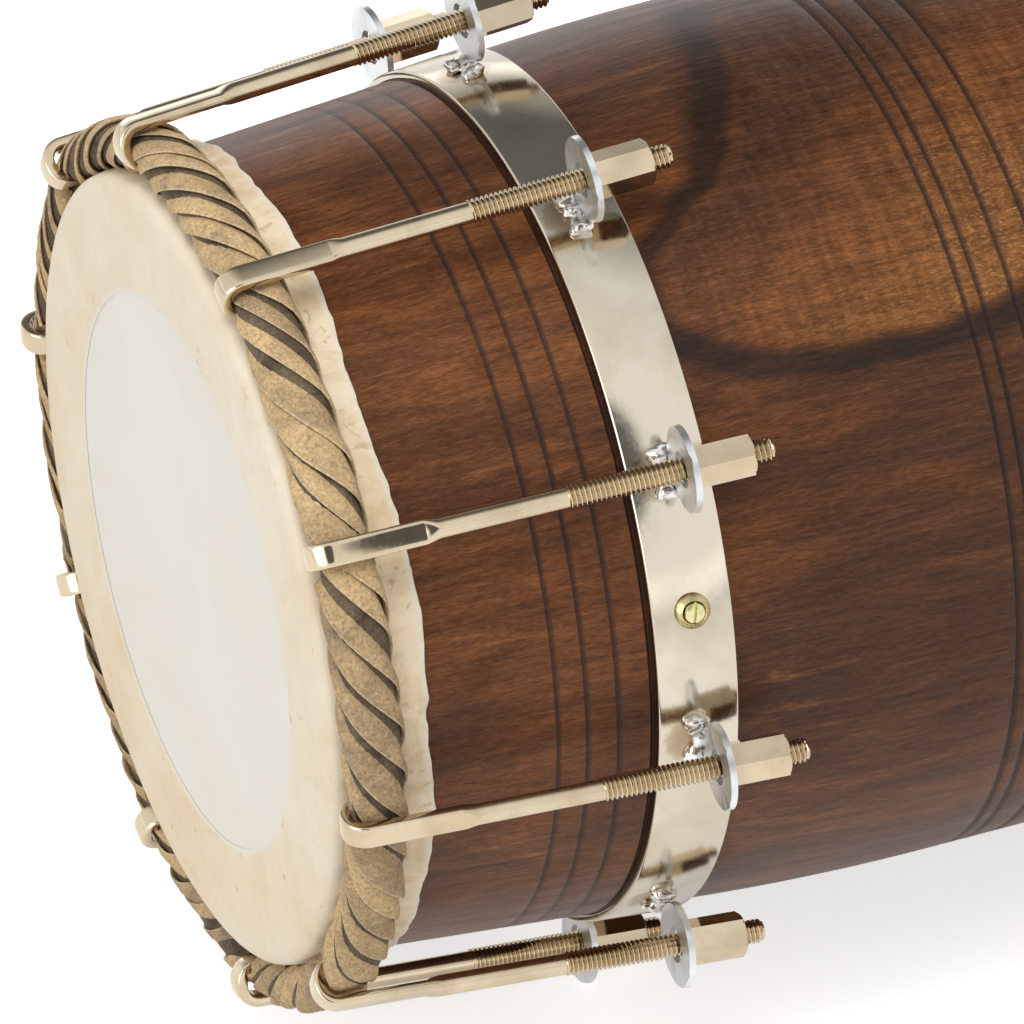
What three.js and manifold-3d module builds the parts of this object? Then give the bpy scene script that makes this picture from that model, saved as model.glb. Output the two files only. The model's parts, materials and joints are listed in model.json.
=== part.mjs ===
// A dholak: a wooden barrel drum with a skin on each end, tuned by hooked rods and long nuts.
// Millimetres, +Z up. +X runs along the drum from the bass head to the treble head, and the
// origin lies on the floor under the middle of the drum, which lies on its lugs.
import * as THREE from 'three';
import { mergeVertices } from 'three/addons/utils/BufferGeometryUtils.js';
import Module from 'manifold-3d';

const wasm = await Module();
wasm.setup();

// The whole drum
const drumLength = 430; // from the front of the bass hooks to the front of the treble hooks
const gap = 0.3; // left between pieces that rest on each other
const overrun = 1; // how far a cutting tool passes the face that it opens
const boltCount = 10; // at each end
const sidesPerBolt = 4; // of each ring round the drum
const drumSides = boltCount * sidesPerBolt;
const boltPitch = (2 * Math.PI) / boltCount;
const firstBoltAngle = boltPitch / 2; // two bolts straddle the lowest line of the drum

// The two ends differ in how far the shell narrows from belly to skins, and in the paste
const bassEnd = { name: 'bass', narrowing: 14.4, pasted: true };
const trebleEnd = { name: 'treble', narrowing: 18, pasted: false };

const shell = {
  bellyRadius: 117.2,
  bandNarrowing: 4.6, // from the belly to the wood under the middle of each band
  rimBevel: 1.6,
  rebateDepth: 1.2, // the rim is turned down where the skins wrap it
  rebateLength: 19,
  rimWall: 12.5,
  bellyWall: 17,
  blendMargin: 7.5, // straight taper left behind the band
  blendSteps: 3,
  grooveWidth: 1.5,
  grooveDepth: 0.7,
  taperGrooveShares: [0.52, 0.69, 0.83], // of the wood between skin and band
  middleGrooveShares: [0.43, 0.441, 0.461, 0.483], // of the drum's length
};

const membrane = { thickness: 0.7 };
const cover = { thickness: 0.8, setBack: 2, openingRadius: 73.7, skirtLength: 24 };
const paste = { radius: 48, crownRadius: 31, thickness: 4, edgeThickness: 1.2 };

const gajra = { thickness: 12.9, length: 15, bevel: 3.2, frontWrap: 1.6, seam: 0.8, grooveSides: 6 };
const hoop = { wireRadius: 2.1, sides: 6 };

// The rods and nuts are threaded 1/4 inch by 20 to the inch
const rod = {
  length: 120.7,
  strapWidth: 6.5,
  strapThickness: 3.2,
  strapLength: 32.7,
  bendRadius: 4.7, // of the strap's middle line in both bends of the hook
  hookFlat: 1, // straight stretch between the two bends
  tipReach: 11.5, // from the hook's front to the end of its tucked tip
  shankRadius: 2.75,
  threadRadius: 3.175,
  threadStart: 66.5,
  endBevel: 1,
  shankSides: 8,
  bendSteps: 2,
};

const nut = { acrossFlats: 10.5, length: 16, bevel: 0.7, boreSides: 8 };
const band = { centre: 97.5, width: 21, thickness: 1.9 };
const lug = {
  radius: 11.3,
  thickness: 1.9,
  holeRadius: 4.45,
  standOff: 2.1, // clear height between the band and the lug's edge
  weldFootRadius: 3.8,
  weldTopRadius: 2,
  weldRise: 2.5, // how far the weld climbs the lug
  sides: 12,
  weldSides: 6,
};

const screw = {
  count: 2, // through each band
  angle: THREE.MathUtils.degToRad(72),
  headRadius: 3,
  headDepth: 1.5,
  domeHeight: 0.5,
  shankRadius: 1.7,
  length: 16,
  slotWidth: 0.8,
  slotDepth: 0.7,
  sides: 8,
};
const cup = { radius: 4.6, height: 1.7, lipRadius: 4, wall: 0.5 };

// Sizes that follow from those above
const seatRadius = (end) => shell.bellyRadius - end.narrowing; // outside, under the skins
const bandSeat = shell.bellyRadius - shell.bandNarrowing;
const membraneDepth = gap + membrane.thickness; // from the rim to the membrane's outside
const coverInside = membraneDepth + gap;
const coverDepth = coverInside + cover.thickness; // from the rim to the cover skin's outside
const rimPlane = cover.setBack + coverDepth;
const rebateEnd = rimPlane + shell.rebateLength;
const skirtEnd = rimPlane + cover.skirtLength;
const hookDrop = 2 * rod.bendRadius + rod.hookFlat; // from the rod's line to the tip's line
const halfStrap = rod.strapThickness / 2;
const bendCentre = halfStrap + rod.bendRadius;
const gajraFront = rod.strapThickness + gap;
const gajraRear = gajraFront + gajra.length;
const rodTravel = rod.tipReach - gajraFront + gap; // brings the tip clear of the gajra
const bandFront = band.centre - band.width / 2;
const bandRear = band.centre + band.width / 2;
const lugCentreRadius = bandSeat + gap + band.thickness + lug.standOff + lug.radius;

const finish = {
  wood: new THREE.MeshStandardMaterial({ color: 0x5b2f1c, roughness: 0.42, metalness: 0 }),
  skin: new THREE.MeshStandardMaterial({ color: 0xe9dcbc, roughness: 0.7, metalness: 0 }),
  membrane: new THREE.MeshStandardMaterial({ color: 0xeeecdd, roughness: 0.65, metalness: 0 }),
  leather: new THREE.MeshStandardMaterial({ color: 0x9d8259, roughness: 0.8, metalness: 0 }),
  steel: new THREE.MeshStandardMaterial({ color: 0x9a9a98, roughness: 0.35, metalness: 1 }),
  nickel: new THREE.MeshStandardMaterial({ color: 0xc9bda8, roughness: 0.2, metalness: 1 }),
  chrome: new THREE.MeshStandardMaterial({ color: 0xcfcfd0, roughness: 0.15, metalness: 1 }),
  zinc: new THREE.MeshStandardMaterial({ color: 0xc9b45c, roughness: 0.3, metalness: 1 }),
  paste: new THREE.MeshStandardMaterial({ color: 0x1c1815, roughness: 0.9, metalness: 0 }),
};

// A geometry's triangles as a solid that can be joined and cut
function solidOf(geometry) {
  const bare = geometry.clone();
  bare.deleteAttribute('normal');
  bare.deleteAttribute('uv');
  const merged = mergeVertices(bare);
  return new wasm.Manifold(new wasm.Mesh({
    numProp: 3,
    vertProperties: Float32Array.from(merged.attributes.position.array),
    triVerts: Uint32Array.from(merged.index.array),
  }));
}

function geometryOf(solid) {
  const mesh = solid.getMesh();
  const geometry = new THREE.BufferGeometry();
  geometry.setAttribute('position', new THREE.BufferAttribute(mesh.vertProperties, 3));
  geometry.setIndex(new THREE.BufferAttribute(mesh.triVerts, 1));
  return geometry;
}

// A profile of [distance along X, radius] points, turned round X. It starts and ends on the axis
// or closes on itself, and runs up its -X side and down its +X side.
function turned(profile, sides) {
  const points = profile.map(([x, r]) => new THREE.Vector2(r, x));
  return new THREE.LatheGeometry(points, sides).rotateZ(-Math.PI / 2);
}

function turnedRing(profile, sides) {
  return turned([...profile, profile[0]], sides);
}

// A flat outline in the XZ plane, drawn out to a width along Y
function plate(shape, width, steps) {
  const geometry = new THREE.ExtrudeGeometry(shape, {
    depth: width,
    bevelEnabled: false,
    curveSegments: steps,
  });
  return geometry.translate(0, 0, -width / 2).rotateX(Math.PI / 2);
}

function named(name, geometry, material) {
  const mesh = new THREE.Mesh(geometry, material);
  mesh.name = name;
  return mesh;
}

// Radius of the shell's outside at a distance from the hook fronts, on the straight taper
function taperSlope(end) {
  const rimRadius = seatRadius(end) + shell.rebateDepth;
  return (bandSeat - rimRadius) / (band.centre - rimPlane);
}

function taperRadius(end, x) {
  return bandSeat + taperSlope(end) * (x - band.centre);
}

// The same under the skins, where the rim is turned down
function rimRadiusAt(end, x) {
  const start = rimPlane + shell.rimBevel;
  if (x >= rebateEnd) return taperRadius(end, x);
  const share = (x - start) / (rebateEnd - start);
  return THREE.MathUtils.lerp(seatRadius(end), taperRadius(end, rebateEnd), share);
}

// The bevelled rim, offset outwards so that a skin lies on it at an even depth
function rimCorner(end, depth) {
  const mitre = depth * Math.tan(Math.PI / 8);
  return [
    [rimPlane - depth, seatRadius(end) - shell.rimBevel + mitre],
    [rimPlane + shell.rimBevel - mitre, seatRadius(end) + depth],
  ];
}

function groove(x, radius) {
  return [
    [x - shell.grooveWidth / 2, radius(x - shell.grooveWidth / 2)],
    [x, radius(x) - shell.grooveDepth],
    [x + shell.grooveWidth / 2, radius(x + shell.grooveWidth / 2)],
  ];
}

// The curve from the taper into the belly touches both of them
function bellyBlend(end) {
  const start = bandRear + shell.blendMargin;
  const knee = band.centre + (shell.bellyRadius - bandSeat) / taperSlope(end);
  const curve = new THREE.QuadraticBezierCurve(
    new THREE.Vector2(start, taperRadius(end, start)),
    new THREE.Vector2(knee, shell.bellyRadius),
    new THREE.Vector2(2 * knee - start, shell.bellyRadius),
  );
  return curve.getPoints(shell.blendSteps).map((p) => [p.x, p.y]);
}

function endOutline(end) {
  const bare = bandFront - skirtEnd;
  const grooves = shell.taperGrooveShares.flatMap((share) =>
    groove(skirtEnd + share * bare, (x) => taperRadius(end, x)));
  return [
    ...rimCorner(end, 0),
    [rebateEnd, taperRadius(end, rebateEnd)],
    ...grooves,
    ...bellyBlend(end),
  ];
}

function shellSolid() {
  const fromTreble = ([x, r]) => [drumLength - x, r];
  const bellyInside = shell.bellyRadius - shell.bellyWall;
  const bassOutline = endOutline(bassEnd);
  const trebleOutline = endOutline(trebleEnd).map(fromTreble).reverse();
  const middle = shell.middleGrooveShares.flatMap((share) =>
    groove(share * drumLength, () => shell.bellyRadius));
  const inside = [
    [trebleOutline.at(-1)[0], seatRadius(trebleEnd) - shell.rimWall],
    [trebleOutline[0][0], bellyInside],
    [bassOutline.at(-1)[0], bellyInside],
    [rimPlane, seatRadius(bassEnd) - shell.rimWall],
  ];
  return solidOf(turnedRing([...bassOutline, ...middle, ...trebleOutline, ...inside], drumSides));
}

// The membrane is a disc on the rim, with its edge cut along the mitre of the upper skin's bend
function membraneGeometry(end) {
  const [outside] = rimCorner(end, membraneDepth);
  const [inside] = rimCorner(end, gap);
  return turned([[outside[0], 0], outside, inside, [inside[0], 0]], drumSides);
}

// The upper skin is open in the middle, and its edge hangs back over the wood as a skirt
function coverGeometry(end) {
  const line = (depth) => [
    [rimPlane - depth, cover.openingRadius],
    ...rimCorner(end, depth),
    [rebateEnd, taperRadius(end, rebateEnd) + depth],
    [skirtEnd, taperRadius(end, skirtEnd) + depth],
  ];
  return turnedRing([...line(coverDepth), ...line(coverInside).reverse()], drumSides);
}

function pasteGeometry() {
  const face = rimPlane;
  return turned([
    [face, 0],
    [face, paste.radius],
    [face + paste.edgeThickness, paste.radius],
    [face + paste.thickness, paste.crownRadius],
    [face + paste.thickness, 0],
  ], drumSides);
}

function hookRadius(end) {
  return seatRadius(end) + coverDepth + gap + gajra.thickness + gap + halfStrap;
}

function hoopCentre(end) {
  return [gajraFront + gajra.frontWrap + gap + hoop.wireRadius, hookRadius(end) - hookDrop / 2];
}

function hoopGeometry(end) {
  const [x, r] = hoopCentre(end);
  const profile = Array.from({ length: hoop.sides }, (_, i) => {
    const turn = (2 * Math.PI * i) / hoop.sides;
    return [x - hoop.wireRadius * Math.sin(turn), r - hoop.wireRadius * Math.cos(turn)];
  });
  return turnedRing(profile, drumSides);
}

// The ring of leather straps wraps the hoop, and its seam lies against the skin
function gajraSolid(end, lines) {
  const [hoopX, hoopR] = hoopCentre(end);
  const grooveRadius = hoop.wireRadius + gap;
  const outer = hookRadius(end) - halfStrap - gap;
  const inner = (x) => Math.max(rimRadiusAt(end, x), seatRadius(end)) + coverDepth + gap;
  const halfSeam = gajra.seam / 2;
  const mouth = Math.asin(halfSeam / grooveRadius);
  const wall = Array.from({ length: gajra.grooveSides + 1 }, (_, i) => {
    const turn = mouth + ((2 * Math.PI - 2 * mouth) * i) / gajra.grooveSides;
    return [hoopX + grooveRadius * Math.sin(turn), hoopR - grooveRadius * Math.cos(turn)];
  });
  const ring = solidOf(turnedRing([
    [hoopX - halfSeam, inner(hoopX - halfSeam)],
    [gajraFront, inner(gajraFront)],
    [gajraFront, outer - gajra.bevel],
    [gajraFront + gajra.bevel, outer],
    [gajraRear - gajra.bevel, outer],
    [gajraRear, outer - gajra.bevel],
    [gajraRear, inner(gajraRear) + gajra.bevel],
    [gajraRear - gajra.bevel, inner(gajraRear - gajra.bevel)],
    [hoopX + halfSeam, inner(hoopX + halfSeam)],
    ...wall,
  ], drumSides));
  const relief = plate(hookRelief(), rod.strapWidth + 2 * gap, rod.bendSteps);
  return lines.reduce((body, line) =>
    body.subtract(solidOf(relief.clone().applyMatrix4(line.matrixWorld))), ring);
}

// Side view of the hook, which starts straight, turns over the gajra and tucks its tip behind
function strapOutline(half) {
  const shape = new THREE.Shape();
  const tip = -hookDrop;
  const lowerBend = tip + rod.bendRadius;
  shape.moveTo(rod.strapLength, half);
  shape.lineTo(bendCentre, half);
  shape.absarc(bendCentre, -rod.bendRadius, rod.bendRadius + half, Math.PI / 2, Math.PI);
  shape.absarc(bendCentre, lowerBend, rod.bendRadius + half, Math.PI, 1.5 * Math.PI);
  shape.lineTo(rod.tipReach, tip - half);
  shape.lineTo(rod.tipReach, tip + half);
  shape.absarc(bendCentre, lowerBend, rod.bendRadius - half, 1.5 * Math.PI, Math.PI, true);
  shape.absarc(bendCentre, -rod.bendRadius, rod.bendRadius - half, Math.PI, Math.PI / 2, true);
  shape.lineTo(rod.strapLength, -half);
  return shape;
}

// What the hook passes through in the gajra as the rod slides forward
function hookRelief() {
  const half = halfStrap + gap;
  const tip = -hookDrop;
  const lowerBend = tip + rod.bendRadius;
  const ahead = -rodTravel - overrun;
  const shape = new THREE.Shape();
  shape.moveTo(ahead, half);
  shape.lineTo(ahead, tip - half);
  shape.lineTo(rod.tipReach + gap, tip - half);
  shape.lineTo(rod.tipReach + gap, tip + half);
  shape.absarc(bendCentre, lowerBend, rod.bendRadius - half, 1.5 * Math.PI, Math.PI, true);
  shape.absarc(bendCentre, -rod.bendRadius, rod.bendRadius - half, Math.PI, Math.PI / 2, true);
  shape.lineTo(bendCentre, half);
  return shape;
}

function rodGeometry() {
  const strap = plate(strapOutline(halfStrap), rod.strapWidth, rod.bendSteps);
  const step = rod.threadRadius - rod.shankRadius;
  const root = rod.strapLength - rod.shankRadius;
  const shank = turned([
    [root, 0],
    [root, rod.shankRadius],
    [rod.threadStart, rod.shankRadius],
    [rod.threadStart + step, rod.threadRadius],
    [rod.length - rod.endBevel, rod.threadRadius],
    [rod.length, rod.threadRadius - rod.endBevel],
    [rod.length, 0],
  ], rod.shankSides);
  return geometryOf(solidOf(strap).add(solidOf(shank)));
}

// A long hexagon nut. Its corners are bevelled at both ends.
function nutGeometry() {
  const corner = nut.acrossFlats / 2 / Math.cos(Math.PI / 6);
  const bevelled = nut.acrossFlats / 2;
  const hexagon = turned([
    [0, 0],
    [0, bevelled],
    [nut.bevel, corner],
    [nut.length - nut.bevel, corner],
    [nut.length, bevelled],
    [nut.length, 0],
  ], 6);
  const bore = rod.threadRadius + gap;
  const drill = turned([
    [-overrun, 0],
    [-overrun, bore],
    [nut.length + overrun, bore],
    [nut.length + overrun, 0],
  ], nut.boreSides);
  return geometryOf(solidOf(hexagon).subtract(solidOf(drill)));
}

function lugDistance(end) {
  return Math.hypot(band.centre, lugCentreRadius - hookRadius(end));
}

// A lug is a washer that stands across its rod, with a weld that ties it to the band
function lugSolids(end, line) {
  const half = lug.thickness / 2;
  const washer = turnedRing([
    [-half, lug.holeRadius],
    [-half, lug.radius],
    [half, lug.radius],
    [half, lug.holeRadius],
  ], lug.sides);
  const foot = bandSeat + gap + band.thickness / 2;
  const top = lugCentreRadius - lug.radius + lug.weldRise;
  const weld = new THREE.CylinderGeometry(
    lug.weldTopRadius, lug.weldFootRadius, top - foot, lug.weldSides,
  ).rotateX(Math.PI / 2);
  washer.translate(lugDistance(end), 0, 0).applyMatrix4(line.matrixWorld);
  weld.translate(band.centre, 0, (top + foot) / 2).applyMatrix4(line.parent.matrixWorld);
  return [solidOf(washer), solidOf(weld)];
}

function bandSolid(end, lines) {
  const inside = (x) => taperRadius(end, x) + gap;
  const strip = turnedRing([
    [bandFront, inside(bandFront)],
    [bandFront, inside(bandFront) + band.thickness],
    [bandRear, inside(bandRear) + band.thickness],
    [bandRear, inside(bandRear)],
  ], drumSides);
  return lines.flatMap((line) => lugSolids(end, line)).reduce((a, b) => a.add(b), solidOf(strip));
}

// A group whose X axis is the line of one rod, from the front of its hook
function boltLine(end, angle) {
  const spoke = new THREE.Group();
  spoke.rotation.x = angle;
  const line = new THREE.Group();
  line.position.z = hookRadius(end);
  line.rotation.y = -Math.atan2(lugCentreRadius - hookRadius(end), band.centre);
  spoke.add(line);
  spoke.updateMatrixWorld(true);
  return line;
}

// A group whose X axis points out of the wood, from the band's outside, where a screw goes in
function screwLine(end, angle) {
  const spoke = new THREE.Group();
  spoke.rotation.x = angle;
  const line = new THREE.Group();
  line.position.set(band.centre, 0, bandSeat + gap + band.thickness);
  line.rotation.y = -Math.PI / 2 - Math.atan(taperSlope(end));
  spoke.add(line);
  spoke.updateMatrixWorld(true);
  return line;
}

function screwHole(line) {
  const reach = screw.length + gap;
  const radius = screw.shankRadius + gap;
  const drill = turned([
    [-reach, 0],
    [-reach, radius],
    [overrun, radius],
    [overrun, 0],
  ], screw.sides);
  return solidOf(drill.applyMatrix4(line.matrixWorld));
}

// The cup stands on the band and holds the screw's cone
function cupGeometry() {
  const base = screw.shankRadius + gap;
  return turnedRing([
    [gap, base],
    [gap, cup.radius],
    [gap + cup.wall, cup.radius],
    [gap + cup.height, cup.lipRadius],
    [gap + cup.height, cup.lipRadius - cup.wall],
  ], screw.sides);
}

function screwGeometry() {
  const top = gap + cup.height;
  const neck = top - screw.headDepth;
  const body = turned([
    [-screw.length, 0],
    [-screw.length + screw.shankRadius, screw.shankRadius],
    [neck, screw.shankRadius],
    [top, screw.headRadius],
    [top + screw.domeHeight, screw.headRadius / 2],
    [top + screw.domeHeight, 0],
  ], screw.sides);
  const slot = new THREE.BoxGeometry(
    2 * screw.slotDepth, 2 * screw.headRadius + overrun, screw.slotWidth,
  ).translate(top + screw.domeHeight, 0, 0);
  return geometryOf(solidOf(body).subtract(solidOf(slot)));
}

function buildEnd(end, place) {
  const head = new THREE.Group();
  place(head);
  const number = (i) => String(i + 1).padStart(2, '0');
  const angles = Array.from({ length: boltCount }, (_, i) => firstBoltAngle + boltPitch * i);
  const lines = angles.map((angle) => boltLine(end, angle));
  const screwAngles = Array.from({ length: screw.count }, (_, i) =>
    screw.angle + (2 * Math.PI * i) / screw.count);
  const screwLines = screwAngles.map((angle) => screwLine(end, angle));
  const strip = screwLines.reduce(
    (body, line) => body.subtract(screwHole(line)), bandSolid(end, lines));

  head.add(named(`${end.name}_membrane`, membraneGeometry(end), finish.membrane));
  head.add(named(`${end.name}_cover_skin`, coverGeometry(end), finish.skin));
  head.add(named(`${end.name}_hoop`, hoopGeometry(end), finish.steel));
  head.add(named(`${end.name}_gajra`, geometryOf(gajraSolid(end, lines)), finish.leather));
  head.add(named(`${end.name}_band`, geometryOf(strip), finish.chrome));
  if (end.pasted) head.add(named(`${end.name}_paste`, pasteGeometry(), finish.paste));

  lines.forEach((line, i) => {
    const nutMesh = named(`${end.name}_nut_${number(i)}`, nutGeometry(), finish.nickel);
    nutMesh.position.x = lugDistance(end) + lug.thickness / 2 + gap;
    line.add(named(`${end.name}_rod_${number(i)}`, rodGeometry(), finish.nickel), nutMesh);
    head.add(line.parent);
  });
  screwLines.forEach((line, i) => {
    line.add(named(`${end.name}_cup_washer_${i + 1}`, cupGeometry(), finish.zinc));
    line.add(named(`${end.name}_band_screw_${i + 1}`, screwGeometry(), finish.zinc));
    head.add(line.parent);
  });
  return { head, screwLines };
}

const bass = buildEnd(bassEnd, () => {});
const treble = buildEnd(trebleEnd, (head) => {
  head.position.x = drumLength;
  head.rotation.z = Math.PI;
});

// The wood is drilled for the band screws once the ends stand in place
const dholak = new THREE.Group();
dholak.add(bass.head, treble.head);
dholak.updateMatrixWorld(true);
const barrel = [...bass.screwLines, ...treble.screwLines].reduce(
  (body, line) => body.subtract(screwHole(line)), shellSolid());
dholak.add(named('shell', geometryOf(barrel), finish.wood));

// The drum lies level on its lowest lugs, over the origin
const box = new THREE.Box3().setFromObject(dholak, true);
const middle = box.getCenter(new THREE.Vector3());
dholak.position.set(-middle.x, -middle.y, -box.min.z);

export default dholak;
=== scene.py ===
import json
import random
from math import atan, atan2, ceil, copysign, cos, hypot, pi, radians, sin, sqrt

import bmesh
import bpy
from mathutils import Matrix, Vector, noise


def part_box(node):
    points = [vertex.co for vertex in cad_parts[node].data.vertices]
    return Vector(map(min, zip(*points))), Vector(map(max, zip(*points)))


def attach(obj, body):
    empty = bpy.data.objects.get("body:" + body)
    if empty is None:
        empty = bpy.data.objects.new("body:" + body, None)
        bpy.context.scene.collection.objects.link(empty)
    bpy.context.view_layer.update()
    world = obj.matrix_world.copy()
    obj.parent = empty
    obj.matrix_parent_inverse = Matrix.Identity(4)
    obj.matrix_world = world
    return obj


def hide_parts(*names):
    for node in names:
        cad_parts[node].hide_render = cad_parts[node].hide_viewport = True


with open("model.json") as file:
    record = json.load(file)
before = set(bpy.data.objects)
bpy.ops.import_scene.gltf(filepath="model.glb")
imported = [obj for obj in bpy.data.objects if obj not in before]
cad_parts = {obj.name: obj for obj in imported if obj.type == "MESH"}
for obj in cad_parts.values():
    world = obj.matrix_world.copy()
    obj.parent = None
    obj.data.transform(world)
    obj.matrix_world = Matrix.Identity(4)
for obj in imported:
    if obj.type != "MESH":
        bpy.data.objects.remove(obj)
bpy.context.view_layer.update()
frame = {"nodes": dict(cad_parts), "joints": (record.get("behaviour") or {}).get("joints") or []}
print("frame loaded:", len(frame["nodes"]), "nodes")

drum = {
    "length": 430.0,  # between the fronts of the hooks at the two ends
    "coverSetBack": 2.0,  # from the hook fronts to the cover skin's face
    "rimPlane": 4.1,
    "rimBevel": 1.6,
    "rimStep": 1.2,  # how far the wood behind the skin's seat stands above it
    "bandCentre": 97.5,
    "bandSeat": 112.6,  # the wood's radius under the band
    "bandGap": 0.3,
    "bandThickness": 1.9,
    "lugRise": 2.1,
    "lugRadius": 11.3,
    "belly": 117.2,
    "bellyStart": 115.5,
    "boltCount": 10,
}
coverLow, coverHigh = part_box("bass_cover_skin")
bassFront = coverLow.x - drum["coverSetBack"] / 1000
axisHeight = (coverLow.z + coverHigh.z) / 2
millimetres = Matrix.Scale(0.001, 4)
bassPlace = Matrix.Translation((bassFront, 0, axisHeight)) @ millimetres
treblePlace = (
    Matrix.Translation((bassFront + drum["length"] / 1000, 0, axisHeight))
    @ Matrix.Rotation(pi, 4, "Z")
    @ millimetres
)
ends = {
    "bass": {"seat": 102.8, "place": bassPlace, "seed": 11},
    "treble": {"seat": 99.2, "place": treblePlace, "seed": 23},
}


def newObject(name, data):
    made = bpy.data.objects.new(name, data)
    bpy.context.scene.collection.objects.link(made)
    return made


# The camera looks down at the bass head from the left
camera = {
    "azimuth": -22.6,
    "elevation": 36.06,
    "lens": 311.09,
    "unit": 0.1152,  # metres to one unit of the three lengths below
    "right": -0.7604,  # from the view's middle to the middle of the bass hooks' fronts
    "up": -0.13,
    "ahead": 19.7875,
    "shiftX": -0.0023,
    "shiftY": 0.004,
}


def placeCamera():
    around, above = radians(camera["azimuth"]), radians(camera["elevation"])
    level = Vector((-sin(around), cos(around), 0))
    rightward = Vector((cos(around), sin(around), 0))
    forward = level * cos(above) - Vector((0, 0, sin(above)))
    upward = level * sin(above) + Vector((0, 0, cos(above)))
    offset = rightward * camera["right"] + upward * camera["up"] + forward * camera["ahead"]
    lens = bpy.data.cameras.new("camera")
    lens.lens = camera["lens"]
    lens.shift_x, lens.shift_y = camera["shiftX"], camera["shiftY"]
    lens.clip_start, lens.clip_end = 0.1, 50
    viewer = newObject("camera", lens)
    viewer.location = Vector((bassFront, 0, axisHeight)) - offset * camera["unit"]
    viewer.rotation_euler = forward.to_track_quat("-Z", "Y").to_euler()
    bpy.context.scene.camera = viewer


placeCamera()
print("camera placed")


# Finishes
def newFinish(name):
    mat = bpy.data.materials.new(name)
    mat.use_nodes = True
    return mat, mat.node_tree.nodes["Principled BSDF"]


def connect(mat, value, socket):
    if isinstance(value, bpy.types.NodeSocket):
        mat.node_tree.links.new(value, socket)
    else:
        socket.default_value = value


def setInputs(mat, node, inputs):
    for socket, value in inputs.items():
        connect(mat, value, node.inputs[socket])


def addNode(mat, kind, inputs=None, **settings):
    node = mat.node_tree.nodes.new("ShaderNode" + kind)
    for name, value in settings.items():
        setattr(node, name, value)
    setInputs(mat, node, inputs or {})
    return node


def objectPoint(mat, scale=(1, 1, 1), turn=(0, 0, 0), shift=(0, 0, 0)):
    place = addNode(mat, "TexCoord").outputs["Object"]
    return addNode(mat, "Mapping", {
        "Vector": place, "Scale": scale, "Rotation": turn, "Location": shift,
    }).outputs["Vector"]


def tiltedPoint(mat, scale, turn):
    turned = objectPoint(mat, turn=turn)
    return addNode(mat, "Mapping", {"Vector": turned, "Scale": scale}).outputs["Vector"]


def pointParts(mat):
    return addNode(mat, "SeparateXYZ", {0: objectPoint(mat)}).outputs


def pieceValue(mat, name):
    return addNode(mat, "Attribute", attribute_name=name).outputs["Fac"]


def aroundAxis(mat, point):
    # the angle from the top, growing towards the viewer's side
    rise = lessOf(mat, point[2], axisHeight)
    return mathOf(mat, "ARCTAN2", timesOf(mat, point[1], -1.0), rise)


def planeDistance(mat, first, second):
    squares = [timesOf(mat, value, value) for value in (first, second)]
    return mathOf(mat, "SQRT", sumOf(mat, *squares))


def axisDistance(mat):
    shifted = objectPoint(mat, (0, 1, 1), shift=(0, 0, -axisHeight))
    return addNode(mat, "VectorMath", {0: shifted}, operation="LENGTH").outputs["Value"]


def noiseOf(mat, scale, detail, roughness, distortion=0.0, point=None):
    # a scale for each axis draws the pattern out
    if isinstance(scale, tuple):
        point, scale = objectPoint(mat, scale), 1.0
    if point is None:
        point = objectPoint(mat)
    return addNode(mat, "TexNoise", {
        "Vector": point, "Scale": scale, "Detail": detail,
        "Roughness": roughness, "Distortion": distortion,
    }).outputs["Fac"]


def rampOf(mat, amount, stops):
    node = addNode(mat, "ValToRGB", {"Fac": amount})
    ramp = node.color_ramp
    while len(ramp.elements) < len(stops):
        ramp.elements.new(1)
    for element, (place, tone) in zip(ramp.elements, stops):
        element.position = place
        element.color = (*tone, 1) if isinstance(tone, tuple) else (tone, tone, tone, 1)
    return node.outputs["Color"]


def mathOf(mat, operation, *values):
    return addNode(mat, "Math", dict(enumerate(values)), operation=operation).outputs[0]


def timesOf(mat, first, second):
    return mathOf(mat, "MULTIPLY", first, second)


def sumOf(mat, first, second):
    return mathOf(mat, "ADD", first, second)


def lessOf(mat, first, second):
    return mathOf(mat, "SUBTRACT", first, second)


def mixOf(mat, amount, first, second, mode="MIX"):
    first, second = ((*tone, 1) if isinstance(tone, tuple) else tone for tone in (first, second))
    inputs = {0: amount, 6: first, 7: second}
    return addNode(mat, "Mix", inputs, data_type="RGBA", blend_type=mode).outputs[2]


def paintOver(mat, tone, layers):
    for share, colour in layers:
        tone = mixOf(mat, share, tone, colour)
    return tone


def bumpOf(mat, height, depth, strength=1.0, under=None):
    node = addNode(mat, "Bump", {"Height": height, "Distance": depth, "Strength": strength})
    if under is not None:
        connect(mat, under, node.inputs["Normal"])
    return node.outputs["Normal"]


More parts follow.
